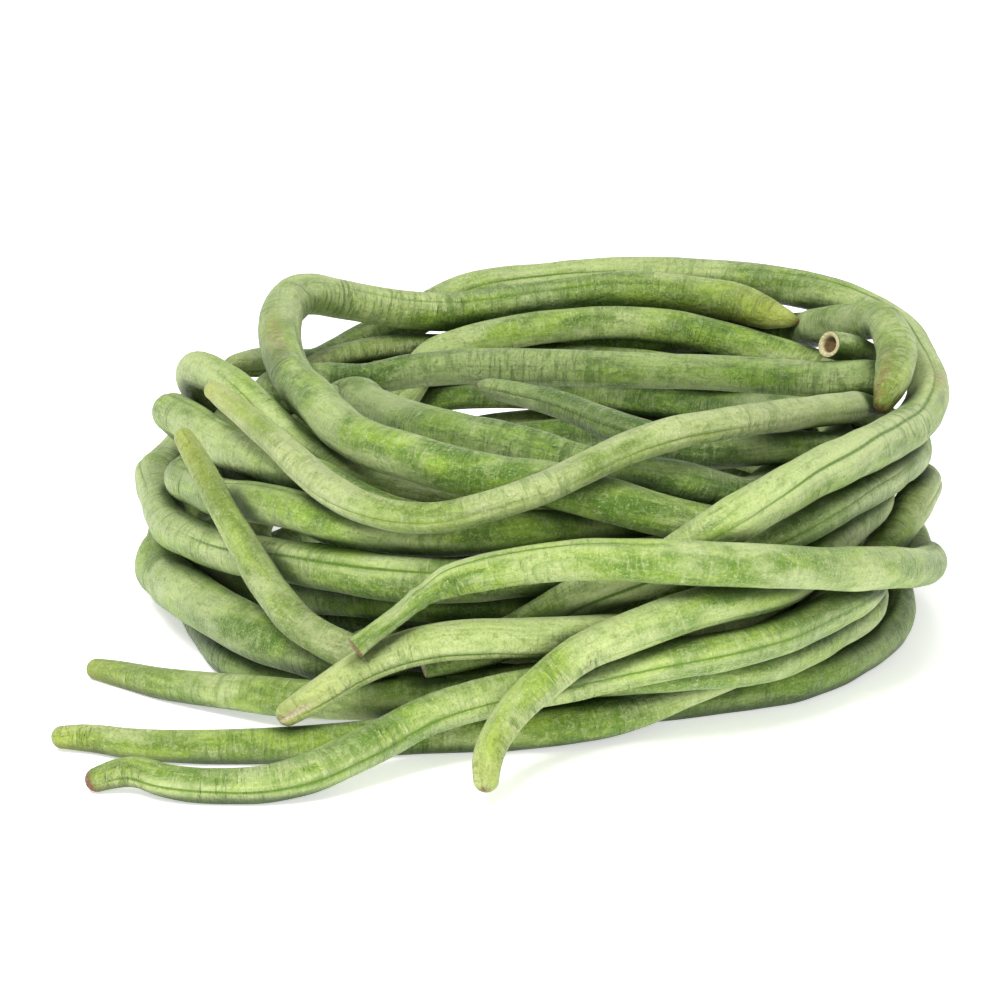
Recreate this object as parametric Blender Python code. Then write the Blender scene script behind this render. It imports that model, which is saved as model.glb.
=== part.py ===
"""A bunch of yardlong beans: long green pods wound by hand into a low coil.

Each pod is one closed solid. Its route is drawn by hand, and the routes are then spread apart until the
pods only lie on each other. Lengths are in millimetres until a mesh is made, which is in metres.
The origin is on the surface that the bunch lies on, under the middle of its bounding box.
+X is to the right of the bunch, +Y to its back and +Z up.
"""

import math

import bpy
import numpy as np

MM = 0.001

# The view that the routes are drawn in
VIEW_TILT = math.radians(17)
VIEW_DISTANCE = 800.0
AIM_HEIGHT = 27.8

# The coil
COIL_MIDDLE_X = 10.0
BACK_DEPTH_SHARE = 0.9

# The section of a pod, and the gap that is left between two pods
SIDES = 8
CORNER_UP = math.cos(math.pi / SIDES)
REST_FLAT = 0.35
GAP = 0.45

# The ends of a pod: lengths, shares of its half thickness, and the powers of the curves between
STALK_LENGTH = 17.0
STALK_SHARE = 0.42
NECK_LENGTH = 9.0
NECK_SHARE = 0.74
FILL_LENGTH = 60.0
FILL_POWER = 0.7
TIP_LENGTH = {"blunt": 50.0, "full": 12.0, "hidden": 60.0}
TIP_SHARE = {"blunt": 0.60, "full": 0.55, "hidden": 0.45}
TIP_POWER = 0.55
CUT_SHARE = 0.72
CUT_POWER = 0.6
CUT_HOLLOW = 2.0
CUT_HOLLOW_SHARE = 0.62
END_RING_OUT = 0.55
END_RING_SHARE = 0.72
END_CORNER_OUT = 0.35

# The curves through the points of a route
FINE_STEP = 0.5
NODE_STEP = 4.5
MESH_STEP = 1.0

# The spreading of the routes
NEAR = 8.0
SAME_POD_STEPS = 8
LIST_EVERY = 10
SMOOTH_ROUNDS = 420
HELD_ROUNDS = 560
MOST_ROUNDS = 680
OVERLAP_LEFT = 0.02
PUSHES = 2
PUSH = 1.3
LEAST_APART = 0.01
SINK = 0.05
LEAST_HOLD = 0.2
HOLD_ACROSS = 0.10
HOLD_ALONG = 0.006
HOLD_HIDDEN = 0.006
SHOWN_GIVES = 0.4
SMOOTHING = 0.5
SMOOTH_PASSES = 4
LATE_SMOOTH_PASSES = 1
KEPT_DIGITS = 6
TINY = 1e-9

# The rings of a mesh
RING_STEP = 12.5
TURN_WEIGHT = 2.2
GENTLE_TURN = 0.018
END_WEIGHT = 0.14
END_REACH = 14.0

SKIN_ROUGHNESS = 0.42

EYE = np.array(
    [0, -VIEW_DISTANCE * math.cos(VIEW_TILT), AIM_HEIGHT + VIEW_DISTANCE * math.sin(VIEW_TILT)]
)


def seen(across, up, back):
    """A point of a route that shows in the view: across and up in the picture, and back from the middle."""
    in_picture = np.array([across, up * math.sin(VIEW_TILT), AIM_HEIGHT + up * math.cos(VIEW_TILT)])
    share = (back - EYE[1]) / (in_picture[1] - EYE[1])
    return (*(EYE + share * (in_picture - EYE)), 1.0)


def around(angle, radius, height):
    """A hidden point of a route: the angle round the coil from its front, by its right, and its radius."""
    a = math.radians(angle)
    to_back = -radius * math.cos(a)
    if to_back > 0:
        to_back *= BACK_DEPTH_SHARE
    return (COIL_MIDDLE_X + radius * math.sin(a), to_back, height, 0.0)


ARCHED_POD = [
    around(62, 70, 40), seen(72, -9, -60), seen(60, -8.5, -70), seen(45, -6.5, -74), seen(30, -3, -77),
    seen(15, 0, -77), seen(0, 2.5, -75), seen(-12, 5, -72), seen(-25, 9, -66), seen(-34, 12, -58),
    seen(-42.5, 16.5, -46), seen(-49, 22, -30), seen(-53, 28.5, -12), seen(-55, 35, 5),
    seen(-55.5, 42.5, 22), seen(-53.7, 48.4, 38), seen(-49.6, 51.6, 48), seen(-44.6, 51.3, 55),
    seen(-37.5, 50, 61), seen(-25, 48, 66), seen(-12, 47, 70), seen(0, 48, 72), seen(12, 49.5, 74),
    seen(25, 51.5, 75), seen(37.5, 52, 75), seen(50, 50.5, 73), seen(60, 48.5, 70), seen(67, 46, 66),
    seen(72.5, 44.5, 62),
]
POD_BEHIND_ARCH = [
    around(212, 82, 30), around(235, 76, 38), around(255, 74, 44), around(275, 66, 48),
    seen(-42.5, 27, 8), seen(-32.5, 23.5, -12), seen(-20, 19, -35), seen(-7.5, 16.5, -50),
    seen(5, 14, -58), seen(15, 11, -62), seen(25, 8, -65), seen(35, 6.5, -68), seen(45, 5, -68),
    seen(55, 2.5, -65), seen(65, 1, -58), around(65, 72, 48), around(85, 74, 46), around(110, 74, 44),
    around(130, 74, 42),
]
PALE_SLIM_POD = [
    around(248, 80, 43), around(230, 84, 47), around(210, 86, 51), around(190, 80, 52),
    around(160, 72, 52), around(130, 76, 52), around(108, 80, 54), seen(97, 26, 2),
    seen(92.5, 25.5, -14), seen(87.5, 24, -28), seen(75, 22, -46), seen(62.5, 20, -58),
    seen(50, 18, -66), seen(37.5, 15.5, -72), seen(25, 10, -78), seen(12.5, 4, -84), seen(0, -0.5, -87),
    seen(-12.5, -4, -87), seen(-22.5, -4.5, -85), seen(-32.5, -2.5, -81), seen(-42.5, 2.5, -73),
    seen(-50, 9, -64), seen(-57.5, 16, -54), seen(-65, 22.5, -44), seen(-71.5, 27.5, -36),
]
DROOPING_POD = [
    around(26, 74, 32), around(3, 75, 40), seen(-30, -3, -72), seen(-42.5, 3.5, -63),
    seen(-50, 7.5, -54), seen(-57.5, 11.5, -45), seen(-67.5, 15.5, -30), seen(-75, 21.5, -15),
    seen(-80, 26, 0), around(255, 87, 46), around(235, 88, 38), around(210, 88, 42), around(185, 88, 54),
    around(165, 86, 54), seen(70, 44.2, 67), seen(77.5, 44.8, 56), seen(86, 44, 38), seen(93, 43, 22),
    seen(96.5, 38, 5), seen(97.5, 32, -8), seen(97, 26, -18), seen(95, 20.5, -24),
]
OUTER_LONG_POD = [
    seen(-18, -44.5, -93), seen(-8, -42, -91), seen(2, -38, -89), seen(10, -33, -88),
    seen(17.5, -27.5, -87), seen(27, -23, -87), seen(38, -19, -87), seen(48, -13, -88),
    seen(58, -6, -87), seen(69, 1, -80), seen(80, 7.5, -68), seen(90, 12.5, -52), seen(98, 18, -32),
    seen(104, 25, -8), seen(104, 31, 12), seen(101.5, 38, 32), seen(97, 43.5, 48), seen(87, 48.5, 60),
    seen(75, 52, 70), seen(62, 54.5, 78), seen(50, 55.7, 83), seen(35, 56.5, 87), seen(20, 55.9, 88),
    seen(5, 54.4, 88), seen(-8, 52, 86), seen(-18, 47.5, 82), seen(-26, 43.2, 77), seen(-35, 39, 72),
    seen(-45, 34, 62), seen(-58, 34.5, 40), seen(-66, 34, 18),
]
NECKED_POD = [
    seen(-36, -36.5, -104), seen(-30, -32, -102), seen(-24, -27.5, -100), seen(-17.5, -22.5, -98),
    seen(-10, -19.5, -97), seen(0, -17.5, -97), seen(10, -16, -97), seen(20, -15.5, -97),
    seen(30, -16, -97), seen(40, -17, -96), seen(50, -18, -94), seen(62, -19, -89), seen(75, -19.3, -80),
    seen(87, -18.5, -66), seen(96, -17, -48), seen(100, -14.5, -28), seen(102, -13, -8),
    seen(100.5, -11.5, 8), around(102, 93, 17), around(120, 94, 16), around(150, 93, 16),
    around(180, 92, 17), around(210, 92, 18), around(235, 92, 20),
]
POD_UNDER_RIM = [
    around(33, 80, 38), seen(50, -20, -80), seen(62, -13, -79), seen(72.5, -7, -74),
    seen(82.5, -1.5, -64), seen(92.5, 4, -48), seen(100, 9, -28), seen(103, 12, -8), around(100, 92, 44),
    around(120, 90, 44), around(150, 88, 46), around(180, 86, 44), around(210, 84, 42),
    around(240, 78, 38), around(262, 79, 39), seen(-79, 7.5, -5), seen(-75, 4, -22), seen(-69, 1.5, -38),
    seen(-62.5, 1, -48), seen(-50, -1, -60), seen(-37.5, -4.5, -70), seen(-25, -8.7, -76),
    seen(-12, -10.5, -80), seen(0, -10.5, -82), seen(10, -10.5, -82), around(16, 74, 37),
    around(30, 72, 37),
]
FRONT_HOOKED_POD = [
    around(235, 80, 30), around(210, 80, 30), around(180, 82, 32), around(150, 82, 34),
    around(120, 84, 36), around(97, 86, 38), seen(96, 0, -25), seen(90, -6, -46), seen(82.5, -12.5, -62),
    seen(77, -20, -74), seen(70, -25.5, -86), seen(60, -27, -94), seen(47.5, -30, -99),
    seen(35, -34.5, -102), seen(22.5, -39, -105), seen(12.5, -46, -109), seen(5, -52.5, -114),
    seen(0, -59, -119), seen(-2.5, -65, -124), seen(-3, -70.5, -128),
]
FRONT_LONG_POD = [
    around(190, 84, 22), around(160, 86, 26), around(130, 88, 30), around(108, 92, 34), seen(104, 10, 4),
    seen(104.5, 8, -8), seen(103, 3, -18), seen(100, -4, -26), seen(97, -12, -32), seen(94, -19, -42),
    seen(90, -24.5, -58), seen(80, -28, -73), seen(69, -31, -84), seen(57.5, -34, -92),
    seen(45, -36, -97), seen(30, -38.5, -100), seen(17, -41.5, -102), seen(5, -44.5, -104),
    seen(-5, -47.5, -106), seen(-15, -51, -109), seen(-25, -56, -113), seen(-32.5, -60.5, -117),
    seen(-40, -64, -122), seen(-50, -68.5, -127), seen(-60, -70.5, -129), seen(-70, -71, -129),
    seen(-82.5, -70, -128), seen(-92, -67.5, -124), seen(-100.7, -69.5, -124),
]
LEFT_UPPER_POD = [
    around(140, 74, 8), around(118, 76, 8), around(98, 78, 9), around(82, 82, 12), seen(92, -26, -42),
    seen(84, -30.5, -58), seen(75, -35, -71), seen(63.5, -39, -81), seen(49.5, -41.3, -87),
    seen(30, -43.7, -91), seen(15, -45, -93), seen(0, -46.5, -94), seen(-12, -48, -94),
    seen(-25, -49.3, -93), seen(-37.5, -49.3, -91), seen(-50, -48.8, -87), seen(-60, -48.3, -82),
    seen(-70, -47.5, -76), seen(-82.5, -45.7, -68), seen(-92.5, -43.7, -60), seen(-100.7, -42, -54),
]
LEFT_LOWER_POD = [
    around(165, 78, 14), around(140, 80, 16), around(115, 80, 18), around(90, 80, 20),
    around(70, 80, 20), seen(75, -36.5, -64), seen(62, -43, -83), seen(50, -46, -90),
    seen(37.5, -49.3, -95), seen(25, -52, -99), seen(8, -54.3, -101), seen(-5, -55.5, -100),
    seen(-18, -56.5, -101), seen(-30, -57.5, -103), seen(-40, -59.5, -105), seen(-50, -60.5, -107),
    seen(-65, -61.2, -108), seen(-80, -61.2, -108), seen(-92.5, -60.5, -106), seen(-102, -59, -102),
    seen(-109.5, -58.7, -101),
]
BOTTOM_POD = [
    around(232, 86, 5), around(250, 88, 5), seen(-79, -20, 2), seen(-77.5, -25, -10),
    seen(-75, -32.3, -32), seen(-68.5, -39.2, -54), seen(-58, -43, -65), seen(-44, -47, -73),
    around(348, 88, 5), seen(10, -54.5, -91.5), seen(25, -53.7, -89.5), seen(37.5, -52.8, -87),
    seen(50, -51.5, -83.5), seen(62.5, -49.3, -78), seen(75, -46, -71), seen(86.5, -40, -55),
    seen(93.5, -34, -38), seen(97, -28, -20), around(95, 87, 5), around(120, 86, 5), around(150, 84, 5),
    around(172, 82, 5),
]
LEFT_THICK_POD = [
    around(125, 88, 24), around(150, 90, 26), around(180, 90, 28), around(210, 92, 30),
    around(235, 89, 30), around(258, 89, 26), seen(-78, -7.5, 5), seen(-80, -14, -5),
    seen(-77.5, -19.3, -16), seen(-74.5, -24.2, -31), seen(-68, -29.5, -50), seen(-57.5, -35, -68),
    seen(-45, -37.7, -79), seen(-37, -39, -84), around(338, 82, 19), around(0, 80, 17),
    around(30, 78, 14), around(55, 78, 14),
]
SLIT_TIP_POD = [
    around(240, 71, 24), around(215, 76, 24), around(190, 76, 22), around(160, 76, 24),
    around(130, 78, 26), around(100, 70, 26), around(75, 74, 26), around(55, 80, 26), seen(60, -31, -76),
    seen(48, -33, -84), seen(35, -34.5, -92), seen(25, -34.5, -96), seen(12.5, -34.5, -99),
    seen(0, -34.5, -101), seen(-12.5, -35, -102), seen(-22.5, -37, -103), seen(-32.5, -40.5, -104),
    seen(-40, -45, -105), seen(-47.5, -50, -106), seen(-53, -53.5, -106),
]
LEFT_SLANTING_POD = [
    around(200, 70, 14), around(170, 70, 14), around(140, 72, 14), around(110, 74, 14),
    around(80, 74, 14), around(50, 74, 18), around(20, 78, 22), around(0, 80, 24), around(345, 82, 24),
    seen(-30, -36.5, -85), seen(-38, -34.5, -83), seen(-46, -31.5, -79), seen(-52, -26.5, -73),
    seen(-57, -20, -67), seen(-62, -12.5, -60), seen(-66, -5, -54), seen(-70, 2.5, -48),
    seen(-74, 10, -43), seen(-77.5, 16, -38),
]
LEFT_WALL_POD = [
    around(125, 94, 52), around(150, 95, 52), around(180, 95, 50), around(210, 94, 44),
    around(235, 89, 38), around(258, 89, 34), seen(-79, 9, 10), seen(-81, 5, -3), seen(-80, 0, -14),
    seen(-79, -5.5, -28), seen(-71, -9.5, -42), seen(-65, -12, -52), seen(-50, -14.2, -68),
    seen(-40, -15.5, -76), seen(-30, -17, -82), seen(-20, -18.7, -85), seen(-5, -20, -85),
    around(10, 80, 34), around(30, 76, 32), around(50, 74, 34),
]
LEFT_INNER_POD = [
    around(195, 90, 30), around(220, 86, 34), around(245, 79, 26), around(262, 80, 22),
    seen(-79, -10, 0), seen(-77.5, -15, -15), seen(-70, -19.5, -33), seen(-61, -23.5, -48),
    seen(-47.5, -24.5, -66), seen(-37.5, -25.5, -75), seen(-25, -27, -81), seen(-5, -27, -85),
    seen(10, -26.5, -84), seen(23, -26.5, -83), seen(35, -25.5, -82), seen(47, -24.5, -80),
    around(50, 80, 28), around(75, 78, 30), around(100, 78, 26), around(120, 78, 22),
]
CUT_END_POD = [
    seen(83.5, 39.5, 2), seen(89, 38.3, 9), seen(94, 35, 20), seen(91, 32, 34), seen(82, 33, 46),
    seen(72.5, 35.5, 52), seen(60, 39.5, 58), seen(45, 43.7, 63), seen(25, 45.5, 66), seen(5, 43.7, 65),
    seen(-17, 38.7, 60), around(215, 70, 42), around(235, 80, 38), around(250, 88, 44),
    around(261, 90, 54), seen(-77, 33, 0), seen(-71, 31, -14), seen(-65, 27.5, -26),
    seen(-59, 22.5, -34), seen(-52.5, 17, -42), seen(-45, 11, -50), seen(-35, 5, -58),
    seen(-25, 2.5, -62), seen(-12, 0.5, -66), around(0, 68, 46),
]
CROSSING_POD = [
    around(238, 80, 28), around(258, 76, 42), seen(-62, 28.5, 20), seen(-55, 30, 24),
    seen(-47.5, 31, 22), seen(-37.5, 30.5, 20), seen(-25, 32.5, 18), seen(-12.5, 34, 16),
    seen(0, 34.3, 14), seen(12.5, 34, 12), seen(25, 33.5, 10), seen(37.5, 33, 8), seen(50, 32.5, 6),
    seen(62.5, 31.5, 4), seen(75, 30.7, 2), seen(87.5, 30.5, 0), seen(92.5, 30, 4), around(103, 86, 50),
    around(120, 84, 46), around(138, 82, 44),
]
INNER_TIP_POD = [
    around(222, 86, 36), around(200, 78, 44), around(170, 78, 42), around(140, 76, 42),
    around(112, 76, 48), around(92, 76, 52), seen(85, 16.5, -32), seen(75, 15.7, -44),
    seen(62.5, 14.5, -50), seen(50, 13.5, -52), seen(37.5, 16.5, -47), seen(30, 18.5, -41),
    seen(22.5, 21.5, -33), seen(15, 24.5, -26), seen(5, 27, -18), seen(-2.5, 28.7, -12),
]
BACK_INNER_POD = [
    around(95, 74, 22), around(115, 72, 28), around(140, 70, 32), around(165, 70, 34),
    around(190, 70, 34), around(215, 70, 33), around(240, 70, 32), around(262, 72, 32),
    around(285, 74, 32), around(305, 78, 32),
]
INNER_LOW_POD = [
    around(20, 70, 16), around(45, 70, 16), around(75, 72, 14), around(105, 72, 12), around(135, 70, 20),
    around(160, 68, 22), around(185, 68, 22), around(210, 68, 20), around(235, 70, 16),
    around(260, 72, 12), around(285, 74, 13), around(310, 74, 16), around(332, 71, 18),
    around(350, 69, 18),
]
INNER_FLOOR_POD = [
    around(165, 66, 5), around(190, 68, 5), around(215, 72, 5), around(240, 76, 5), around(262, 78, 5),
    around(285, 80, 5), around(305, 78, 5), around(325, 76, 5), around(345, 76, 5), around(365, 76, 5),
    around(385, 76, 5),
]
LEFT_FILLING_POD = [
    around(232, 76, 36), around(246, 77, 41), around(260, 78, 44), around(275, 78, 46),
    around(295, 78, 45), around(315, 76, 44), around(335, 76, 42), around(355, 74, 42),
    around(375, 73, 41), around(390, 73, 38),
]

# Each pod: its name, its thickness, its two ends from stem to tip, its colour and its route
PODS = [
    ("arched_pod", 11.0, "hidden", "full", (0.2, 0.36, 0.09), ARCHED_POD),
    ("pod_behind_arch", 10.6, "hidden", "hidden", (0.17, 0.33, 0.08), POD_BEHIND_ARCH),
    ("pale_slim_pod", 7.6, "hidden", "blunt", (0.36, 0.5, 0.24), PALE_SLIM_POD),
    ("drooping_pod", 10.0, "hidden", "full", (0.19, 0.36, 0.09), DROOPING_POD),
    ("outer_long_pod", 10.8, "cut", "hidden", (0.22, 0.4, 0.11), OUTER_LONG_POD),
    ("necked_pod", 10.2, "stalk", "hidden", (0.27, 0.44, 0.15), NECKED_POD),
    ("pod_under_rim", 9.6, "hidden", "hidden", (0.2, 0.38, 0.1), POD_UNDER_RIM),
    ("front_hooked_pod", 9.4, "hidden", "blunt", (0.24, 0.42, 0.14), FRONT_HOOKED_POD),
    ("front_long_pod", 9.4, "hidden", "blunt", (0.26, 0.43, 0.15), FRONT_LONG_POD),
    ("left_upper_pod", 9.0, "hidden", "blunt", (0.25, 0.42, 0.15), LEFT_UPPER_POD),
    ("left_lower_pod", 8.8, "hidden", "blunt", (0.23, 0.41, 0.13), LEFT_LOWER_POD),
    ("bottom_pod", 9.8, "hidden", "hidden", (0.18, 0.34, 0.09), BOTTOM_POD),
    ("left_thick_pod", 12.2, "hidden", "hidden", (0.21, 0.38, 0.11), LEFT_THICK_POD),
    ("slit_tip_pod", 9.4, "hidden", "blunt", (0.24, 0.41, 0.13), SLIT_TIP_POD),
    ("left_slanting_pod", 8.4, "hidden", "blunt", (0.3, 0.44, 0.16), LEFT_SLANTING_POD),
    ("left_wall_pod", 10.6, "hidden", "hidden", (0.22, 0.39, 0.11), LEFT_WALL_POD),
    ("left_inner_pod", 9.0, "hidden", "hidden", (0.21, 0.38, 0.12), LEFT_INNER_POD),
    ("cut_end_pod", 9.4, "cut", "hidden", (0.23, 0.4, 0.12), CUT_END_POD),
    ("crossing_pod", 9.2, "hidden", "hidden", (0.19, 0.35, 0.1), CROSSING_POD),
    ("inner_tip_pod", 8.2, "hidden", "blunt", (0.17, 0.28, 0.09), INNER_TIP_POD),
    ("back_inner_pod", 9.0, "hidden", "hidden", (0.19, 0.35, 0.10), BACK_INNER_POD),
    ("inner_low_pod", 9.4, "hidden", "hidden", (0.18, 0.34, 0.09), INNER_LOW_POD),
    ("inner_floor_pod", 9.4, "hidden", "hidden", (0.18, 0.33, 0.09), INNER_FLOOR_POD),
    ("left_filling_pod", 9.6, "hidden", "hidden", (0.20, 0.36, 0.11), LEFT_FILLING_POD),
]


def smooth_curve(points, step):
    """A Catmull-Rom curve through the points, sampled about every step along it."""
    points = np.asarray(points, float)
    before = np.vstack([2 * points[0] - points[1], points[:-2], points[-3:-2]])[: len(points) - 1]
    after = np.vstack([points[2:], 2 * points[-1] - points[-2]])
    fine = []
    for p0, p1, p2, p3 in zip(before, points[:-1], points[1:], after):
        count = max(2, int(np.linalg.norm(p2[:3] - p1[:3]) / FINE_STEP))
        t = np.arange(count)[:, None] / count
        fine.append(
            0.5 * (2 * p1 + (p2 - p0) * t + (2 * p0 - 5 * p1 + 4 * p2 - p3) * t**2
                   + (3 * p1 - p0 - 3 * p2 + p3) * t**3)
        )
    fine = np.vstack(fine + [points[-1:]])
    length = lengths_along(fine)
    count = int(round(length[-1] / step))
    return at_lengths(fine, length, np.linspace(0, length[-1], count + 1))


def lengths_along(points):
    """The length of the route from its start to each point."""
    steps = np.linalg.norm(np.diff(points[:, :3], axis=0), axis=1)
    return np.concatenate([[0], np.cumsum(steps)])


def at_lengths(points, length, wanted):
    """The points of a route at the wanted lengths along it."""
    return np.stack([np.interp(wanted, length, column) for column in points.T], axis=1)


def half_thickness(along, thickness, stem, tip):
    """The radius of a pod at each length along it, from its stem to its tip."""
    from_tip = (along[-1] - along) / TIP_LENGTH[tip]
    share = np.minimum(1, TIP_SHARE[tip] + (1 - TIP_SHARE[tip]) * from_tip**TIP_POWER)
    if stem == "cut":
        start = CUT_SHARE + (1 - CUT_SHARE) * np.minimum(1, along / FILL_LENGTH) ** CUT_POWER
    else:
        past = along - STALK_LENGTH
        rise = np.clip(past / NECK_LENGTH, 0, 1)
        start = STALK_SHARE + (NECK_SHARE - STALK_SHARE) * rise * rise * (3 - 2 * rise)
        filled = np.clip((past - NECK_LENGTH) / FILL_LENGTH, 0, 1)
        start = start + (1 - NECK_SHARE) * filled**FILL_POWER
    return thickness / 2 * np.minimum(share, start)


def closest_on_segments(p, q):
    """Where two sets of segments come closest: shares along both, and the vector from the second."""
    d1 = p[1] - p[0]
    d2 = q[1] - q[0]
    r = p[0] - q[0]
    a = np.einsum("ij,ij->i", d1, d1)
    b = np.einsum("ij,ij->i", d1, d2)
    c = np.einsum("ij,ij->i", d1, r)
    e = np.einsum("ij,ij->i", d2, d2)
    f = np.einsum("ij,ij->i", d2, r)
    s = np.clip((b * f - c * e) / np.maximum(a * e - b * b, TINY), 0, 1)
    t = np.clip((b * s + f) / e, 0, 1)
    s = np.clip((b * t - c) / a, 0, 1)
    return s, t, r + s[:, None] * d1 - t[:, None] * d2


class Bunch:
    """The nodes of all routes, as they are spread apart."""

    def __init__(self, routes, radii):
        self.place = np.vstack([route[:, :3] for route in routes])
        self.home = self.place.copy()
        self.shown = np.concatenate([route[:, 3] for route in routes])[:, None]
        self.gives = 1 - (1 - SHOWN_GIVES) * self.shown[:, 0]
        self.radius = np.concatenate(radii)
        self.pod = np.concatenate([np.full(len(route), i) for i, route in enumerate(routes)])
        self.starts = np.flatnonzero(np.diff(self.pod, prepend=-1))
        self.segments = np.flatnonzero(self.pod[1:] == self.pod[:-1])
        self.inner = self.segments[1:][np.diff(self.segments) == 1]
        line = self.home - EYE
        self.line = line / np.linalg.norm(line, axis=1)[:, None]

    def list_near(self):
        """List the pairs of segments that could touch soon."""
        middle = (self.place[self.segments] + self.place[self.segments + 1]) / 2
        pod = self.pod[self.segments]
        first, second = [], []
        for i in range(len(middle) - 1):
            away = middle[i + 1 :] - middle[i]
            reach = self.radius[self.segments[i]] + self.radius[self.segments[i + 1 :]] + NODE_STEP + NEAR
            near = np.einsum("ij,ij->i", away, away) < reach**2
            near[:SAME_POD_STEPS] &= pod[i + 1 : i + 1 + SAME_POD_STEPS] != pod[i]
            found = np.flatnonzero(near) + i + 1
            first.append(np.full(len(found), i))
            second.append(found)
        self.first = self.segments[np.concatenate(first)]
        self.second = self.segments[np.concatenate(second)]

    def push_apart(self):
        """Move every pair that overlaps apart, and give the deepest overlap."""
        i, j = self.first, self.second
        s, t, away = closest_on_segments(
            (self.place[i], self.place[i + 1]), (self.place[j], self.place[j + 1])
        )
        apart = np.linalg.norm(away, axis=1)
        need = self.radius[i] * (1 - s) + self.radius[i + 1] * s
        need = need + self.radius[j] * (1 - t) + self.radius[j + 1] * t + GAP
        deep = need - apart
        hit = np.flatnonzero(deep > 0)
        if not len(hit):
            return 0.0
        push = away[hit] / np.maximum(apart[hit], LEAST_APART)[:, None] * deep[hit][:, None]
        share = (self.gives[i[hit]] / (self.gives[i[hit]] + self.gives[j[hit]]))[:, None]
        nodes = np.concatenate([i[hit], i[hit] + 1, j[hit], j[hit] + 1])
        weights = np.concatenate([1 - s[hit], s[hit], 1 - t[hit], t[hit]])
        first, second = push * share, push * (share - 1)
        moves = np.vstack([first, first, second, second]) * weights[:, None]
        count = np.bincount(nodes, weights, len(self.place))
        for axis in range(3):
            total = np.bincount(nodes, moves[:, axis], len(self.place))
            self.place[:, axis] += PUSH * total / np.maximum(count, 1.0)
        return float(deep.max())

    def smooth(self, passes):
        """Even out how far neighbouring nodes have moved from home."""
        moved = self.place - self.home
        ends = np.union1d(self.starts, np.append(self.starts[1:] - 1, len(moved) - 1))
        first = ends[0::2]
        last = ends[1::2]
        for _ in range(passes):
            middle = (moved[self.inner - 1] + moved[self.inner + 1]) / 2
            moved[self.inner] += SMOOTHING * (middle - moved[self.inner])
            moved[first] += SMOOTHING * (moved[first + 1] - moved[first])
            moved[last] += SMOOTHING * (moved[last - 1] - moved[last])
        self.place = self.home + moved

    def hold(self, share):
        """Draw the nodes back to where they are seen, and sink them under their own weight."""
        back = self.home - self.place
        along = np.einsum("ij,ij->i", back, self.line)[:, None] * self.line
        shown = HOLD_ACROSS * (back - along) + HOLD_ALONG * along
        self.place += share * (self.shown * shown + (1 - self.shown) * HOLD_HIDDEN * back)
        self.place[:, 2] -= share * SINK

    def stand(self):
        """Keep every node on or above the surface."""
        lowest = self.radius * CORNER_UP - REST_FLAT
        self.place[:, 2] = np.maximum(self.place[:, 2], lowest)

    def settle(self):
        """Spread the routes until none overlaps another, and give the nodes of each."""
        for turn in range(MOST_ROUNDS):
            if turn % LIST_EVERY == 0:
                self.list_near()
            if turn < HELD_ROUNDS:
                self.hold(max(1 - turn / SMOOTH_ROUNDS, LEAST_HOLD))
            self.smooth(SMOOTH_PASSES if turn < SMOOTH_ROUNDS else LATE_SMOOTH_PASSES)
            for _ in range(PUSHES):
                deepest = self.push_apart()
                self.stand()
            self.place = np.round(self.place, KEPT_DIGITS)
            if turn >= HELD_ROUNDS and deepest < OVERLAP_LEFT:
                break
        return [self.place[self.pod == i] for i in range(len(self.starts))]


def ring_lengths(curve):
    """Lengths along a curve for the rings: closer where it bends and at its ends."""
    length = lengths_along(curve)
    direction = np.gradient(curve, length, axis=0)
    turning = np.linalg.norm(np.gradient(direction, length, axis=0), axis=1)
    to_end = np.minimum(length, length[-1] - length)
    density = 1 / RING_STEP + TURN_WEIGHT * np.maximum(turning - GENTLE_TURN, 0)
    density = density + END_WEIGHT * np.exp(-to_end / END_REACH)
    filled = np.concatenate([[0], np.cumsum((density[1:] + density[:-1]) / 2 * np.diff(length))])
    return np.interp(np.linspace(0, filled[-1], int(filled[-1]) + 2), filled, length)


def ring_frames(curve, wanted):
    """The middle, side and up vectors of the rings."""
    length = lengths_along(curve)
    middle = at_lengths(curve, length, wanted)
    direction = at_lengths(np.gradient(curve, length, axis=0), length, wanted)
    direction /= np.linalg.norm(direction, axis=1)[:, None]
    side = np.cross(direction, [0, 0, 1])
    side /= np.linalg.norm(side, axis=1)[:, None]
    return middle, direction, side, np.cross(side, direction)


def pod_mesh(curve, thickness, stem, tip):
    """The corners and triangles of a pod."""
    wanted = ring_lengths(curve)
    middle, direction, side, up = ring_frames(curve, wanted)
    radius = half_thickness(wanted, thickness, stem, tip)
    middle, direction, side, up, radius = round_ends(middle, direction, side, up, radius, stem)
    angle = (np.arange(SIDES) + 0.5) * 2 * math.pi / SIDES
    corners = middle[:, None] + radius[:, None, None] * (
        np.cos(angle)[None, :, None] * side[:, None] + np.sin(angle)[None, :, None] * up[:, None]
    )
    inward = CUT_HOLLOW if stem == "cut" else -END_CORNER_OUT * radius[0]
    start = middle[0] + inward * direction[0]
    end = middle[-1] + END_CORNER_OUT * radius[-1] * direction[-1]
    corners = np.vstack([corners.reshape(-1, 3), start, end])
    corners[:, 2] = np.maximum(corners[:, 2], 0)
    return corners, tube_triangles(len(middle))


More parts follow.
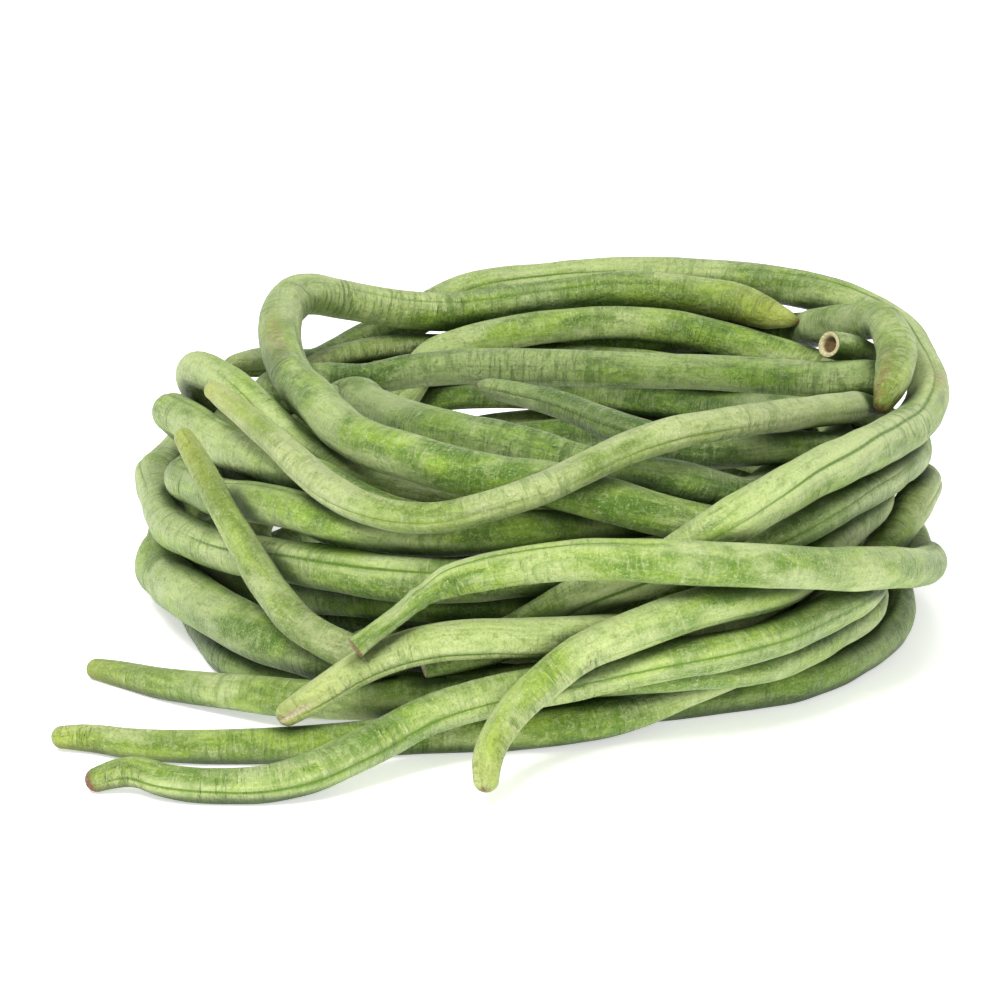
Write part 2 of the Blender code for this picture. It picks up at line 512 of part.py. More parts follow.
def round_ends(middle, direction, side, up, radius, stem):
    """Add a small ring at each end: it rounds the tip, and rounds or hollows the stem."""
    first = middle[0]
    first_radius = CUT_HOLLOW_SHARE * radius[0]
    if stem != "cut":
        first = first - END_RING_OUT * radius[0] * direction[0]
        first_radius = END_RING_SHARE * radius[0]
    last = middle[-1] + END_RING_OUT * radius[-1] * direction[-1]
    last_radius = END_RING_SHARE * radius[-1]
    middle = np.vstack([first, middle, last])
    radius = np.concatenate([[first_radius], radius, [last_radius]])
    repeat = [np.vstack([v[:1], v, v[-1:]]) for v in (direction, side, up)]
    return middle, *repeat, radius


def tube_triangles(rings):
    """The triangles of a tube of rings with a corner at the middle of each end."""
    triangles = []
    start = rings * SIDES
    for k in range(SIDES):
        after = (k + 1) % SIDES
        triangles.append((start, k, after))
        last = (rings - 1) * SIDES
        triangles.append((start + 1, last + after, last + k))
        for ring in range(rings - 1):
            low = ring * SIDES
            high = low + SIDES
            triangles.append((low + k, high + k, high + after))
            triangles.append((low + k, high + after, low + after))
    return triangles


def make_material(name, colour):
    """A plain material of a pod."""
    material = bpy.data.materials.new(name)
    material.use_nodes = True
    shader = material.node_tree.nodes["Principled BSDF"]
    shader.inputs["Base Color"].default_value = (*colour, 1)
    shader.inputs["Roughness"].default_value = SKIN_ROUGHNESS
    return material


def make_object(name, corners, triangles, material):
    """An object of one closed body, in metres."""
    mesh = bpy.data.meshes.new(name)
    mesh.from_pydata([tuple(corner) for corner in corners * MM], [], triangles)
    mesh.materials.append(material)
    mesh.validate()
    mesh.update()
    thing = bpy.data.objects.new(name, mesh)
    bpy.context.scene.collection.objects.link(thing)
    return thing


def main():
    """Build the bunch, and give its origin among the routes."""
    for thing in list(bpy.data.objects):
        bpy.data.objects.remove(thing, do_unlink=True)
    routes = []
    radii = []
    for _, thickness, stem, tip, _, route in PODS:
        nodes = smooth_curve(route, NODE_STEP)
        routes.append(nodes)
        radii.append(half_thickness(lengths_along(nodes), thickness, stem, tip))
    settled = Bunch(routes, radii).settle()
    meshes = []
    for (_, thickness, stem, tip, _, _), nodes in zip(PODS, settled):
        meshes.append(pod_mesh(smooth_curve(nodes, MESH_STEP), thickness, stem, tip))
    low = np.min([corners.min(axis=0) for corners, _ in meshes], axis=0)
    high = np.max([corners.max(axis=0) for corners, _ in meshes], axis=0)
    origin = np.array([(low[0] + high[0]) / 2, (low[1] + high[1]) / 2, low[2]])
    for (name, _, _, _, colour, _), (corners, triangles) in zip(PODS, meshes):
        make_object(name, corners - origin, triangles, make_material(name + "_skin", colour))
    return origin


if __name__ == "__main__":
    main()
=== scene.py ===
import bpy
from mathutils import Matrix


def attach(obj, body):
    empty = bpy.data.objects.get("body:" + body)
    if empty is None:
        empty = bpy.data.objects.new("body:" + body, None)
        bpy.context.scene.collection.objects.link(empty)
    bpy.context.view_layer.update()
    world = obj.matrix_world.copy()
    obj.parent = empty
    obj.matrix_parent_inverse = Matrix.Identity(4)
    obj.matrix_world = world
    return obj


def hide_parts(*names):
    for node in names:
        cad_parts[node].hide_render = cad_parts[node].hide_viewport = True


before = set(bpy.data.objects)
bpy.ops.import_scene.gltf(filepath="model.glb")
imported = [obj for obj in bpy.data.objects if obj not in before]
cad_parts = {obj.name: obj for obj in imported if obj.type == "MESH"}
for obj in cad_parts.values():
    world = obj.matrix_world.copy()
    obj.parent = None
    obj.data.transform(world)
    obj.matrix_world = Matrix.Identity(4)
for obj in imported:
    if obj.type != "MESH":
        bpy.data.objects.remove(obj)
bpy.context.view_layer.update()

# A bunch of yardlong beans: each pod is modelled again, finely, along its own solid.

import math
from collections import namedtuple

import bpy
import numpy as np
from mathutils import Vector

MM = 0.001

# The camera, in the frame of the part: the photograph's tilt, and what it aims at
VIEW_TILT = math.radians(17)
VIEW_DISTANCE = 0.800
AIM = Vector((-0.00602, 0.01892, 0.0278))
SENSOR_MM = 36.0
PICTURE_WIDTH = 0.250

# How a CAD node's solid is made
SIDES = 8
WELD = 1e-6

# The fine surface
STATION = 0.9 * MM
END_STATION = 0.22 * MM
END_REACH = 3.0 * MM
UPRIGHT = np.array([0.0, 0.0, 1.0])

# How uneven a pod has grown: shares of its radius, how far its middle line wobbles, how far its seams turn
# from their course, and over what length each changes
SLOW_UNEVEN = 0.030
SLOW_PITCH = 22 * MM
QUICK_UNEVEN = 0.020
QUICK_PITCH = 9 * MM
DENT = 0.014
DENT_WAVES = (1, 2, 3)
DENT_PITCH = 8 * MM
DENT_TURN = 3
DENT_TURN_PITCH = 40 * MM
DENT_TIP_FADE = 10 * MM
DENT_AT_TIP = 0.2
OVAL = 0.030
OVAL_TURN = 2.5
OVAL_PITCH = 60 * MM
WOBBLE = 0.35 * MM
WOBBLE_PITCH = 24 * MM
WOBBLE_FADE = 20 * MM
TWIST_SLOW = 0.20
TWIST_SLOW_PITCH = 60 * MM
TWIST_QUICK = 0.05
TWIST_QUICK_PITCH = 14 * MM

# The seams: the belly seam is a groove between two ribs, the back seam is a fine line. Widths are in radians
# round the pod, and the marks are the widths of their colours.
BELLY_GROOVE = 0.070
BELLY_WIDTH = 0.08
RIB_RISE = 0.026
RIB_AT = 0.27
RIB_WIDTH = 0.13
BACK_GROOVE = 0.030
BACK_WIDTH = 0.09
BACK_RIB_SHARE = 0.4
SEAM_FADE = 25 * MM
SEAM_TIP_FADE = 5 * MM
SEAM_AT_TIP = 0.25
RIDGE_MEAN = 0.60
RIDGE_SPREAD = 0.55
RIDGE_PITCH = 38 * MM
LEAST_RIDGE = 0.08
BELLY_MARK = 0.07
BACK_MARK = 0.06
RIB_MARK = 0.16

# The angles of a ring's corners, from its belly seam and from its back seam, and how many are on each flank
BELLY_TURNS = (-0.42, -0.27, -0.16, -0.08, 0, 0.08, 0.16, 0.27, 0.42)
BACK_TURNS = (-0.28, -0.14, -0.06, 0, 0.06, 0.14, 0.28)
FLANK_TURNS = 9

# The swelling over the seeds. They stray from an even pitch, and some are fuller than others. The tip end
# has none over a share of the length that is free of them at the stem end.
SEED_PITCH = 15.0 * MM
SEED_STRAY = 0.35
SEED_STRAY_PITCH = 2.3 * SEED_PITCH
SEED_SHARPNESS = 1.5
SEED_MEAN = 0.55
SEED_SPREAD = 0.45
SEED_SWELL = 0.030
SEED_LEVEL = 0.3
SEED_FREE_END = 30 * MM
SEED_FREE_TIP = 0.4
FLANK_IN = 0.035
FLANK_FADE = 40 * MM

# The ends: how far a tip runs out, in radii, how round it is, and the forms of the stem end. A dome ends just
# before its full reach, so that its last ring has a size.
TIP_OUT = {"beak": 2.0, "blunt": 0.95, "slit": 0.95}
TIP_ROUNDING = {"beak": 1.25, "blunt": 2.0, "slit": 2.0}
SLIT_LENGTH = 11 * MM
SLIT_HALF_ANGLE = 0.42
SLIT_DEPTH = 0.5
JUST_OVER = 1.0001
CUT_ROUNDING = 0.35 * MM
CUT_DOME = 3 * CUT_ROUNDING
STALK_ROUNDING = 0.5 * MM
NODE_RING_AT = 17 * MM
NODE_RING_RISE = 0.16
NODE_RING_LENGTH = 1.1 * MM
FOOT_RISE = 0.20
FOOT_LENGTH = 1.6 * MM

# A cut end, from the bottom of its hollow out to its rim: the share of the thickness, and how deep in mm
HOLLOW = [
    (0.10, 2.7),
    (0.30, 2.6),
    (0.50, 2.2),
    (0.60, 1.3),
    (0.66, 0.35),
    (0.74, -0.05),
    (0.86, -0.10),
    (0.97, 0.0),
]
PITH_RINGS = 4

# How the ends age: how brown they are and how far brown and yellow reach. A tip's brown has a least reach,
# and what is added to it when the tip is fully dry.
TIP_BROWN_REACH = (0.6 * MM, 2.4 * MM)
STALK_BROWN = 0.52
STALK_BROWN_REACH = 1.0 * MM
NODE_BROWN = 0.35
NODE_BROWN_LENGTH = 0.9 * MM
YELLOW_REACH = 13 * MM

# The wrinkles inside a bend, by how sharp it is in turns to the metre, and how the tint changes along a pod
WRINKLES_FROM = 4
WRINKLES_SPREAD = 20
TINT_UNEVEN = 0.25
TINT_PITCH = 45 * MM

# Painted shade where pods lie close to each other or to the floor: how it is measured, and the widest gap
# that counts
SHADE_GAP_STEP = 3.0 * MM
SHADE_GAP_LIFT = 1.0 * MM
SHADE_GAP_REACH = 4.5 * MM
SHADE_EVERY_RING = 4
SHADE_EVERY_TURN = 2
SHADE_BATCH = 2000

# What each pod looks like, by the node it replaces. The seam is where the belly seam starts, in degrees round
# the pod, twist is how many degrees it turns in a metre, and ridge is how strongly it shows. Yellow and dry
# are how far the tip has aged.
Look = namedtuple("Look", "slot tint seam twist ridge tip yellow dry")
# The shaded slot is a darker skin, painted shade for the pods that lie inside, behind and under the bunch
PODS = {
    "arched_pod": Look("pod_green", 0.42, 20, 60, 0.6, "beak", 1.0, 0.75),
    "pod_behind_arch": Look("pod_dark", 0.45, 200, 120, 0.5, "beak", 0.2, 0.2),
    "pale_slim_pod": Look("pod_olive", 0.50, 210, -60, 0.6, "blunt", 0.8, 0.10),
    "drooping_pod": Look("pod_green", 0.35, 80, 90, 0.5, "blunt", 0.4, 0.55),
    "outer_long_pod": Look("pod_green", 0.44, -16, 500, 1.0, "beak", 0.2, 0.2),
    "necked_pod": Look("pod_pale", 0.38, 55, 30, 0.8, "beak", 0.2, 0.2),
    "pod_under_rim": Look("pod_green", 0.30, 10, 140, 0.8, "beak", 0.2, 0.2),
    "front_hooked_pod": Look("pod_pale", 0.55, 190, 40, 0.5, "blunt", 0.5, 0.50),
    "front_long_pod": Look("pod_pale", 0.33, 160, 50, 1.0, "blunt", 0.2, 0.9),
    "left_upper_pod": Look("pod_pale", 0.35, 120, 30, 0.25, "blunt", 0.6, 0.05),
    "left_lower_pod": Look("pod_pale", 0.45, 110, -30, 0.3, "blunt", 0.5, 0.15),
    "bottom_pod": Look("pod_dark", 0.30, 60, 80, 0.5, "beak", 0.2, 0.2),
    "left_thick_pod": Look("pod_green", 0.25, 110, 100, 0.3, "beak", 0.2, 0.2),
    "slit_tip_pod": Look("pod_pale", 0.60, 200, 30, 0.8, "slit", 0.6, 0.45),
    "left_slanting_pod": Look("pod_olive", 0.30, 170, -40, 0.3, "blunt", 0.8, 0.15),
    "left_wall_pod": Look("pod_green", 0.40, 20, 60, 0.9, "beak", 0.2, 0.2),
    "left_inner_pod": Look("pod_green", 0.35, 115, 90, 0.7, "beak", 0.2, 0.2),
    "cut_end_pod": Look("pod_green", 0.50, 70, -80, 0.5, "beak", 0.2, 0.2),
    "crossing_pod": Look("pod_dark", 0.50, -40, 70, 0.4, "beak", 0.2, 0.2),
    "inner_tip_pod": Look("pod_dark", 0.30, 150, 60, 0.7, "beak", 0.0, 0.9),
    "back_inner_pod": Look("pod_dark", 0.35, 40, 70, 0.5, "beak", 0.2, 0.2),
    "inner_low_pod": Look("pod_dark", 0.30, 100, 50, 0.5, "beak", 0.2, 0.2),
    "inner_floor_pod": Look("pod_dark", 0.30, 150, 90, 0.4, "beak", 0.2, 0.2),
    "left_filling_pod": Look("pod_green", 0.30, 30, 110, 0.5, "beak", 0.2, 0.2),
}
CUT_STEMS = ("outer_long_pod", "cut_end_pod")

# The seed of the first pod's random growth, and how far apart the pods lie in the skin's noises
FIRST_SEED = 7
SKIN_OFFSET = 0.7

# Brown scars: how far along from the tip and how long, where round the pod, and how wide, in degrees
SCARS = {
    "arched_pod": [(0.184, 0.026, 112, 55)],
    "drooping_pod": [(0.004, 0.020, 65, 60)],
    "outer_long_pod": [(0.276, 0.016, 55, 60)],
}

# Colours of the skin, as base colours of light: deep, middle and bloom
SKINS = {
    "pod_green": ((0.078, 0.172, 0.004), (0.255, 0.400, 0.030), (0.560, 0.640, 0.290)),
    "pod_pale": ((0.105, 0.215, 0.006), (0.290, 0.425, 0.040), (0.580, 0.650, 0.310)),
    # The shaded skin is the green darkened as painted shade, for the pods deep in the bunch
    "pod_dark": ((0.045, 0.110, 0.003), (0.170, 0.295, 0.020), (0.430, 0.515, 0.215)),
    "pod_olive": ((0.110, 0.195, 0.010), (0.285, 0.400, 0.065), (0.520, 0.570, 0.290)),
}
YELLOW = (0.520, 0.540, 0.080)
BROWN = (0.190, 0.090, 0.034)
FLESH = (0.680, 0.620, 0.360)
FLESH_SHADE = (0.400, 0.340, 0.150)
PITH = (0.170, 0.105, 0.040)
SCAR = (0.280, 0.150, 0.060)
# Painted shade: the dark green laid on the skin where pods lie close together or on the floor
PAINTED_SHADE = (0.016, 0.045, 0.003)

# The noises of the skin: how its coordinates are stretched, scale, detail, roughness and distortion
NOISES = {
    "patches": ((1, 1, 0.35), 210, 4, 0.62, 0.5),
    "clouds": ((1, 1, 0.45), 85, 3, 0.55, 0.0),
    "streaks": ((1, 1, 0.05), 1300, 3, 0.6, 0.0),
    "ripples": ((0.22, 0.22, 1), 900, 3, 0.6, 0.5),
    "grain": ((1, 1, 1), 1700, 4, 0.78, 0.4),
    "crinkle": ((1, 1, 0.7), 520, 3, 0.6, 0.8),
    "spots": ((1, 1, 1), 620, 2, 0.5, 0.0),
    "folds": ((0.16, 0.16, 1), 640, 2, 0.55, 0.6),
    "folded": ((1, 1, 0.5), 60, 2, 0.5, 0.0),
    "marks": ((0.45, 0.45, 1), 1100, 3, 0.7, 0.0),
    "specks": ((1, 1, 1), 330, 3, 0.75, 0.0),
    "fibres": ((1, 1, 1), 3200, 2, 0.6, 0.0),
}

# What is laid over the skin's colour, in this order: a noise, where it begins and where it is full, how much
# of it, and which colour
LAYERS = [
    ("ripples", 0.50, 0.72, 0.34, "bloom"),
    ("streaks", 0.50, 0.70, 0.34, "deep"),
    ("crinkle", 0.52, 0.70, 0.30, "bloom"),
    ("crinkle", 0.48, 0.32, 0.35, "deep"),
    ("grain", 0.52, 0.66, 0.58, "bloom"),
    ("grain", 0.48, 0.32, 0.55, "deep"),
    ("spots", 0.62, 0.74, 0.45, "deep"),
]

# Where one tone of the skin turns to the next, and how far the tint of a pod moves it. In this and the next
# groups, a range is where a value begins and where it is full, and what it is from and to if not 0 and 1.
TINT_IN_PATCHES = 0.30
TINT_IN_CLOUDS = 0.38
DEEP_TO_MIDDLE = (0.50, 0.74)
MIDDLE_TO_BLOOM = (0.58, 0.76, 0.0, 0.60)

# How strongly the forms of a pod show in its colour
SEED_SHOWS = 0.18
RIB_SHOWS = 0.50
BELLY_SHOWS = (0.12, 0.60, 0.0, 0.90)
BACK_SHOWS = (0.12, 0.70, 0.0, 0.75)
# Painted shade in the troughs of the folds: where it begins and where it is full, and how strongly it shows
FOLD_SHADE = (0.50, 0.36)
FOLD_SHADE_SHOWS = 0.70
FOLDED = (0.44, 0.64, 0.0, 0.75)
# How strongly the painted shade between pods and on the floor shows
PAINTED_SHADE_SHOWS = (0.10, 0.90, 0.0, 0.88)

# How strongly age, scars and open flesh show
YELLOW_SHOWS = 0.55
DRY_UNEVEN = 0.22
DRY_SHOWS = (0.56, 0.80)
SCAR_EDGE = (0.42, 0.56)
SPECKS_SHOW = (0.735, 0.775, 0.0, 0.75)
SCAR_SHOWS = 0.85
FLESH_FIBRES = (0.40, 0.66, 0.0, 0.55)
SLIT_OPEN = (0.25, 0.55)

# How the skin shines
SKIN_ROUGHNESS = (0.30, 0.70, 0.38, 0.56)
DRY_ROUGHNESS = 0.25
# The sheen fades out where the painted shade between pods is full
SKIN_SHEEN = (0.0, 0.8, 0.45, 0.0)
SKIN_SHINE = {
    "Sheen Roughness": 0.35,
    "Sheen Tint": (0.90, 1.0, 0.72, 1),
    "Subsurface Weight": 0.12,
    "Subsurface Radius": (0.6, 1.0, 0.25),
    "Subsurface Scale": 2.0 * MM,
    "IOR": 1.42,
}

# The relief of the skin over its folds: a noise, how high it stands, and how strongly it shows
FOLD_HEIGHT = 2.3 * MM
RELIEF = [
    ("crinkle", 1.0 * MM, 0.8),
    ("ripples", 0.75 * MM, 0.8),
    ("streaks", 0.14 * MM, 0.8),
    ("grain", 0.34 * MM, 0.9),
]

# The floor and the light
FLOOR_REACH = 6.0
FLOOR_BELOW = 0.05 * MM
FLOOR_SHADES = ((0.94, 0.94, 0.94), (0.96, 0.96, 0.96))
FLOOR_NOISE = ((1, 1, 1), 6, 3, 0.5, 0.0)
FLOOR_PATCHES = (0.3, 0.7)
FLOOR_SHINE = {
    "Roughness": 0.6,
    "Specular IOR Level": 0.2,
    "Emission Color": (1, 1, 1, 1),
    "Emission Strength": 0.50,
}
SURROUND = 0.42
LIGHTS_FACE = Vector((0, 0, 0.03))
LIGHTS = {
    "key": ((-0.35, -0.70, 0.95), 0.30, 10.6),
    "top": ((0.15, 0.20, 1.10), 0.60, 4.0),
    "fill": ((0.25, -1.10, 0.40), 0.70, 4.5),
}


def welded(node):
    """The corners of a CAD node, each once, and the neighbours of each."""
    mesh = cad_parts[node].data
    corners = np.array([vertex.co for vertex in mesh.vertices], float)
    keys = np.round(corners / WELD).astype(np.int64)
    _, first, which = np.unique(keys, axis=0, return_index=True, return_inverse=True)
    which = which.ravel()
    neighbours = [set() for _ in first]
    for edge in mesh.edges:
        a, b = which[edge.vertices[0]], which[edge.vertices[1]]
        if a != b:
            neighbours[a].add(b)
            neighbours[b].add(a)
    return corners[first], neighbours


def rings_of(node):
    """The rings of corners of a CAD node, from one end's middle corner to the other's."""
    corners, neighbours = welded(node)
    start = next(i for i, near in enumerate(neighbours) if len(near) == SIDES)
    level, seen, rings = {start}, {start}, []
    while level:
        rings.append(corners[sorted(level)])
        level = set().union(*(neighbours[i] for i in level)) - seen
        seen |= level
    if [len(ring) for ring in rings] != [1] + [SIDES] * (len(rings) - 2) + [1]:
        raise ValueError(f"{node} is not a tube of rings: {[len(ring) for ring in rings]}")
    return rings


def smooth_through(lengths, values, wanted):
    """Values at the wanted lengths, on a smooth curve through the given ones."""
    values = values.reshape(len(lengths), -1)
    slopes = np.gradient(values, lengths, axis=0)
    i = np.clip(np.searchsorted(lengths, wanted) - 1, 0, len(lengths) - 2)
    gap = (lengths[i + 1] - lengths[i])[:, None]
    t = (wanted[:, None] - lengths[i][:, None]) / gap
    inside = np.clip(t, 0, 1)
    past = (t - inside) * gap
    h = 3 * inside**2 - 2 * inside**3
    start_slope = (inside**3 - 2 * inside**2 + inside) * gap * slopes[i]
    end_slope = (inside**3 - inside**2) * gap * slopes[i + 1]
    edge_slope = np.where(t < 0, slopes[i], slopes[i + 1])
    return (1 - h) * values[i] + h * values[i + 1] + start_slope + end_slope + past * edge_slope


def wander(lengths, pitch, draw):
    """A smooth random value between -1 and 1 along a pod, which changes over about a pitch."""
    count = int(lengths[-1] / pitch) + 4
    knots = draw.uniform(-1, 1, count)
    at = (lengths - lengths[0]) / pitch
    i = np.clip(at.astype(int), 0, count - 2)
    t = at - i
    t = t * t * (3 - 2 * t)
    return knots[i] * (1 - t) + knots[i + 1] * t


class Line:
    """The middle line of a pod, from its stem to its tip, with its thickness."""

    def __init__(self, node):
        rings = rings_of(node)[2:-2]
        centres = np.array([ring.mean(axis=0) for ring in rings])
        radii = np.array([np.linalg.norm(ring - ring.mean(axis=0), axis=1).mean() for ring in rings])
        if (radii[0] > radii[-1]) != (node in CUT_STEMS):
            centres, radii = centres[::-1], radii[::-1]
        steps = np.linalg.norm(np.diff(centres, axis=0), axis=1)
        self.knots = np.concatenate([[0], np.cumsum(steps)])
        self.centres = centres
        self.radii = radii
        self.length = self.knots[-1]

    def stations(self, before, after):
        """Lengths along the pod for its rings: close together at the ends."""
        middle = np.arange(END_REACH, self.length - END_REACH, STATION)
        start = np.arange(-before, END_REACH, END_STATION)
        end = np.arange(self.length - END_REACH, self.length + after, END_STATION)
        return np.concatenate([start, middle[1:], end[1:], [self.length + after]])

    def frames(self, at, draw):
        """The centre, direction, side and up of the pod at each length."""
        centre = smooth_through(self.knots, self.centres, at)
        free = np.clip(at / WOBBLE_FADE, 0, 1) * np.clip((self.length - at) / WOBBLE_FADE, 0, 1)
        aside = np.stack([wander(at, WOBBLE_PITCH, draw) for _ in "xyz"], axis=1)
        centre = centre + WOBBLE * free[:, None] * aside
        direction = np.gradient(centre, at, axis=0)
        direction /= np.linalg.norm(direction, axis=1)[:, None]
        side = np.cross(direction, UPRIGHT)
        side /= np.linalg.norm(side, axis=1)[:, None]
        return centre, direction, side, np.cross(side, direction)


def turns_round():
    """The angles round a pod from its belly seam, closer together at the two seams."""
    belly = np.array(BELLY_TURNS)
    back = math.pi + np.array(BACK_TURNS)
    flank = np.linspace(belly[-1], back[0], FLANK_TURNS + 2)[1:-1]
    return np.concatenate([belly, flank, back, 2 * math.pi - flank[::-1]])


ROUND = turns_round()


def seam_relief(angle):
    """The share of the radius that the seams add at each angle, and how far the angle is from each seam."""
    off_belly = np.abs((angle + math.pi) % (2 * math.pi) - math.pi)
    off_back = math.pi - off_belly
    relief = -BELLY_GROOVE * np.exp(-((off_belly / BELLY_WIDTH) ** 2))
    relief += RIB_RISE * np.exp(-(((off_belly - RIB_AT) / RIB_WIDTH) ** 2))
    relief -= BACK_GROOVE * np.exp(-((off_back / BACK_WIDTH) ** 2))
    relief += BACK_RIB_SHARE * RIB_RISE * np.exp(-(((off_back - RIB_AT) / RIB_WIDTH) ** 2))
    return relief, off_belly, off_back


def swollen(line, at, draw):
    """The radius of a pod at each length, with its uneven growth, and how far each place lies over a seed."""
    radius = np.interp(at, line.knots, line.radii)
    body = np.clip(at / SEED_FREE_END - 1, 0, 1)
    body = body * np.clip((line.length - at) / SEED_FREE_END - SEED_FREE_TIP, 0, 1)
    phase = at / SEED_PITCH + SEED_STRAY * wander(at, SEED_STRAY_PITCH, draw)
    seed = (0.5 + 0.5 * np.cos(2 * math.pi * phase)) ** SEED_SHARPNESS
    seed *= SEED_MEAN + SEED_SPREAD * wander(at, SEED_PITCH, draw)
    uneven = SLOW_UNEVEN * wander(at, SLOW_PITCH, draw)
    uneven = uneven + QUICK_UNEVEN * wander(at, QUICK_PITCH, draw)
    return radius * (1 + body * uneven), seed * body


def dents(at, angle, draw):
    """Shallow dents and an uneven section, as a share of the radius at each corner."""
    total = OVAL * np.cos(2 * angle + OVAL_TURN * wander(at, OVAL_PITCH, draw)[:, None])
    for waves in DENT_WAVES:
        turn = DENT_TURN * wander(at, DENT_TURN_PITCH, draw)[:, None]
        total = total + DENT * wander(at, DENT_PITCH, draw)[:, None] * np.cos(waves * angle + turn)
    return total


def dome(radius, beyond, reach, power=2.0):
    """The radius where a pod runs out beyond its solid's last ring: a dome, or with less power a beak."""
    share = np.clip(beyond / (reach * JUST_OVER), 0, 1)
    return radius * (1 - share**power) ** (1 / power)


def around_gap(angle, middle):
    """How far an angle is from another, in radians, without sign."""
    return np.abs((angle - middle + math.pi) % (2 * math.pi) - math.pi)


def scar_mask(node, from_tip, angle):
    """Where a pod has its brown scars."""
    mask = np.zeros(np.broadcast(from_tip, angle).shape)
    for place, length, middle, width in SCARS.get(node, []):
        off = ((from_tip - place) / (length / 2)) ** 2
        off = off + (around_gap(angle, math.radians(middle)) / math.radians(width / 2)) ** 2
        mask = np.maximum(mask, np.exp(-off))
    return mask


def stem_shape(at, radius, cut):
    """The stem end's thickness: a cut face, or a short stalk with the ring where the pod grew from it."""
    if cut:
        return dome(radius, -at, CUT_DOME)
    ring = NODE_RING_RISE * np.exp(-(((at - NODE_RING_AT) / NODE_RING_LENGTH) ** 2))
    foot = FOOT_RISE * np.exp(-np.clip(at, 0, None) / FOOT_LENGTH)
    return dome(radius * (1 + ring + foot), -at, STALK_ROUNDING)


def bend_inside(at, direction, side, up, angle):
    """How sharply a pod bends towards each corner, in turns to the metre."""
    curve = np.gradient(direction, at, axis=0)
    inner = np.einsum("ij,ij->i", curve, side)[:, None] * np.cos(angle)
    return inner + np.einsum("ij,ij->i", curve, up)[:, None] * np.sin(angle)


def pod_surface(node, look, draw):
    """The corners of a pod's fine surface in rings, and what its skin is like at each."""
    line = Line(node)
    cut = node in CUT_STEMS
    tip_reach = line.radii[-1] * TIP_OUT[look.tip]
    at = line.stations(CUT_ROUNDING if cut else STALK_ROUNDING, tip_reach)
    centre, direction, side, up = line.frames(at, draw)
    radius, seed = swollen(line, at, draw)
    radius = dome(stem_shape(at, radius, cut), at - line.length, tip_reach, TIP_ROUNDING[look.tip])
    twist = math.radians(look.seam) + np.radians(look.twist) * at
    twist = twist + TWIST_SLOW * wander(at, TWIST_SLOW_PITCH, draw)
    twist = twist + TWIST_QUICK * wander(at, TWIST_QUICK_PITCH, draw)
    relief, off_belly, off_back = seam_relief(ROUND)
    from_tip = (line.length - at)[:, None]
    from_stem = at[:, None]
    ridge = RIDGE_MEAN + RIDGE_SPREAD * wander(at, RIDGE_PITCH, draw)
    ridge = look.ridge * np.clip(ridge, LEAST_RIDGE, 1)
    fade = np.clip(from_stem / SEAM_FADE, 0, 1) * np.clip(from_tip / SEAM_TIP_FADE, SEAM_AT_TIP, 1)
    seam = fade * ridge[:, None]
    angle = twist[:, None] + ROUND[None, :]
    flank = np.sin(off_belly)[None, :] ** 2
    share = 1 + relief[None, :] * seam + SEED_SWELL * (seed[:, None] * flank - SEED_LEVEL)
    share = share - FLANK_IN * flank * np.clip(from_stem / FLANK_FADE, 0, 1)
    share = share + dents(at, angle, draw) * np.clip(from_tip / DENT_TIP_FADE, DENT_AT_TIP, 1)
    slit = np.zeros_like(share)
    if look.tip == "slit":
        near = np.exp(-((around_gap(angle, math.pi) / SLIT_HALF_ANGLE) ** 2))
        slit = np.clip(1 - from_tip / SLIT_LENGTH, 0, 1) * near
        share = share - SLIT_DEPTH * slit
    out = radius[:, None] * share
    outward = np.cos(angle)[..., None] * side[:, None] + np.sin(angle)[..., None] * up[:, None]
    place = centre[:, None] + out[..., None] * outward
    place[..., 2] = np.maximum(place[..., 2], 0.0)
    wide = np.ones_like(share)
    bend = bend_inside(at, direction, side, up, angle)
    masks = dict(
        belly=np.exp(-((off_belly / BELLY_MARK) ** 2))[None, :] * seam,
        back=np.exp(-((off_back / BACK_MARK) ** 2))[None, :] * seam,
        rib=np.exp(-(((off_belly - RIB_AT) / RIB_MARK) ** 2))[None, :] * seam,
        seed=seed[:, None] * flank,
        wrinkle=np.clip((bend - WRINKLES_FROM) / WRINKLES_SPREAD, 0, 1) * fade,
        dry=dryness(look, cut, from_stem, from_tip + tip_reach),
        yellow=look.yellow * np.exp(-np.clip(from_tip, 0, None) / YELLOW_REACH) * wide,
        scar=scar_mask(node, from_tip, angle),
        slit=slit,
        tint=(look.tint + TINT_UNEVEN * wander(at, TINT_PITCH, draw))[:, None] * wide,
    )
    flat = line.radii.max() * wide
    skin = np.stack([np.cos(ROUND) * flat, np.sin(ROUND) * flat, at[:, None] * wide], axis=-1)
    return dict(
        line=line,
        at=at,
        centre=centre,
        direction=direction,
        outward=outward,
        place=place,
        skin=skin,
        masks=masks,
        cut=cut,
    )


def dryness(look, cut, from_stem, from_end):
    """How brown and dry the ends are."""
    least, more = TIP_BROWN_REACH
    tip = look.dry * np.exp(-from_end / (least + more * look.dry))
    if not cut:
        stalk = STALK_BROWN * np.exp(-np.clip(from_stem, 0, None) / STALK_BROWN_REACH)
        ring = NODE_BROWN * np.exp(-(((from_stem - NODE_RING_AT) / NODE_BROWN_LENGTH) ** 2))
        tip = np.maximum(np.maximum(tip, stalk), ring)
    return tip * np.ones((1, len(ROUND)))


def middle_samples(pod):
    """Points on the middle line of a pod, and the pod's radius at each."""
    line = pod["line"]
    lengths = np.arange(0, line.length, SHADE_GAP_STEP)
    return smooth_through(line.knots, line.centres, lengths), np.interp(lengths, line.knots, line.radii)


def nearest_gap(points, centres, radii):
    """The gap from each point to the nearest pod or to the floor."""
    gap = points[:, 2].copy()
    squares = (centres**2).sum(axis=1)
    for part in np.array_split(np.arange(len(points)), len(points) // SHADE_BATCH + 1):
        apart = (points[part] ** 2).sum(axis=1)[:, None] + squares - 2 * points[part] @ centres.T
        apart = np.sqrt(np.maximum(apart, 0)) - radii
        gap[part] = np.minimum(gap[part], apart.min(axis=1))
    return gap


